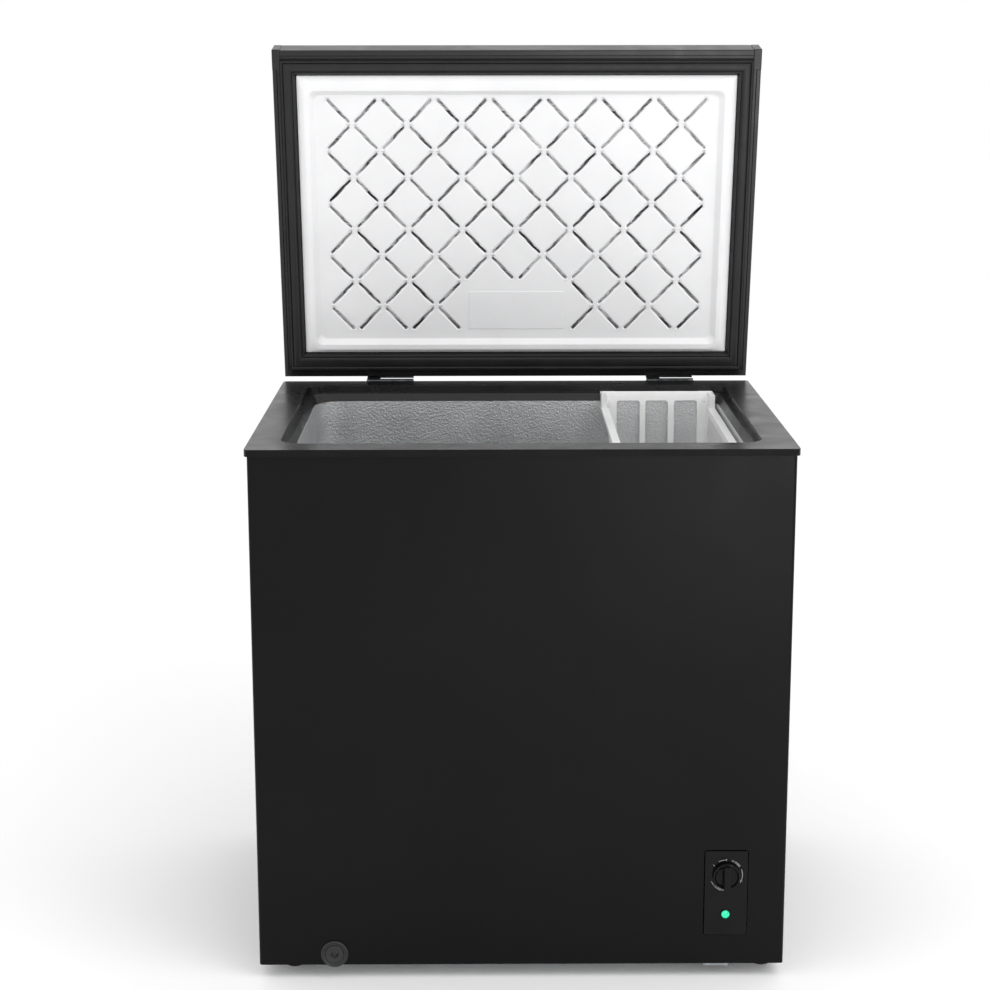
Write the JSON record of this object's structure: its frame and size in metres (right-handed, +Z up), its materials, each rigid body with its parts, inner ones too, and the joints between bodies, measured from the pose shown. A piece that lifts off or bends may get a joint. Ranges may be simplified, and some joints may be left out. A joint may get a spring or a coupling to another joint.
{
  "type": "chest freezer",
  "caption": "Compact black chest freezer standing with its lid open, with an embossed metal tank, a hanging basket, a dial panel and a drain plug.",
  "frame": {"origin": "middle of the floor area that the freezer covers with its lid open, at floor level", "axes": "+Z up; the front with the controls faces -Y; +X is to the right as seen from the front"},
  "size_m": [0.73, 0.5991, 1.2669],
  "materials": {
    "black_enamel": "satin",
    "galvanised_steel": "satin",
    "black_plastic": "satin",
    "embossed_aluminium": "satin",
    "foam": "matte",
    "coil_aluminium": "satin",
    "compressor_paint": "gloss",
    "rubber": "matte",
    "copper": "satin",
    "screw_steel": "satin",
    "black_gloss": "gloss",
    "lamp_green": "gloss",
    "hinge_steel": "satin",
    "white_plastic": "satin",
    "gasket_rubber": "matte"
  },
  "bodies": {
    "cabinet": {"outer_shell": "black_enamel", "back_panel": "black_enamel", "bottom_panel": "galvanised_steel", "base_plate": "galvanised_steel", "feet": "black_plastic", "rim_frame": "black_plastic", "inner_tank": "embossed_aluminium", "foam_insulation": "foam", "evaporator_coil": "coil_aluminium", "condenser_coil": "galvanised_steel", "compressor": "compressor_paint", "compressor_mounts": "rubber", "terminal_box": "black_plastic", "suction_tube": "copper", "discharge_tube": "copper", "filter_drier": "copper", "capillary_tube": "copper", "rear_grille": "black_enamel", "cord_inlet": "rubber", "grille_screws": "screw_steel", "control_panel": "black_gloss", "thermostat": "black_plastic", "thermostat_capillary": "copper", "lamp_bezel": "black_plastic", "lamp_lens": "lamp_green", "drain_socket": "black_plastic", "drain_tube": "rubber", "hinge_cabinet_leaf_left": "hinge_steel", "hinge_cabinet_leaf_right": "hinge_steel", "hinge_pin_left": "hinge_steel", "hinge_pin_right": "hinge_steel", "cabinet_hinge_screws": "screw_steel"},
    "lid": {"lid_cover": "black_enamel", "lid_frame": "black_plastic", "lid_corner_caps": "black_plastic", "lid_foam": "foam", "lid_liner": "white_plastic", "lid_gasket": "gasket_rubber", "hinge_lid_leaf_left": "hinge_steel", "hinge_lid_leaf_right": "hinge_steel", "lid_hinge_screws": "screw_steel"},
    "knob": {"thermostat_shaft": "screw_steel", "thermostat_knob": "black_plastic"},
    "drain_plug": {"drain_plug": "black_plastic"},
    "tank_plug": {"tank_plug": "black_plastic"},
    "basket": {"basket": "white_plastic"}
  },
  "joints": [
    {"name": "lid_hinge", "type": "hinge", "parent": "cabinet", "child": "lid", "pos_m": [0, 0.235, 0.7445], "axis": [1, 0, 0], "range_deg": [-5, 80]},
    {"name": "basket_slide", "type": "slide", "parent": "cabinet", "child": "basket", "axis": [-1, 0, 0], "range_m": [0, 0.434]},
    {"name": "knob_turn", "type": "hinge", "parent": "cabinet", "child": "knob", "pos_m": [0.28, -0.282, 0.1506], "axis": [0, -1, 0], "range_deg": [-240, 60]},
    {"name": "drain_plug_pull", "type": "slide", "parent": "cabinet", "child": "drain_plug", "axis": [0, -1, 0], "range_m": [0, 0.02]},
    {"name": "tank_plug_lift", "type": "slide", "parent": "cabinet", "child": "tank_plug", "axis": [0, 0, 1], "range_m": [0, 0.04]}
  ]
}
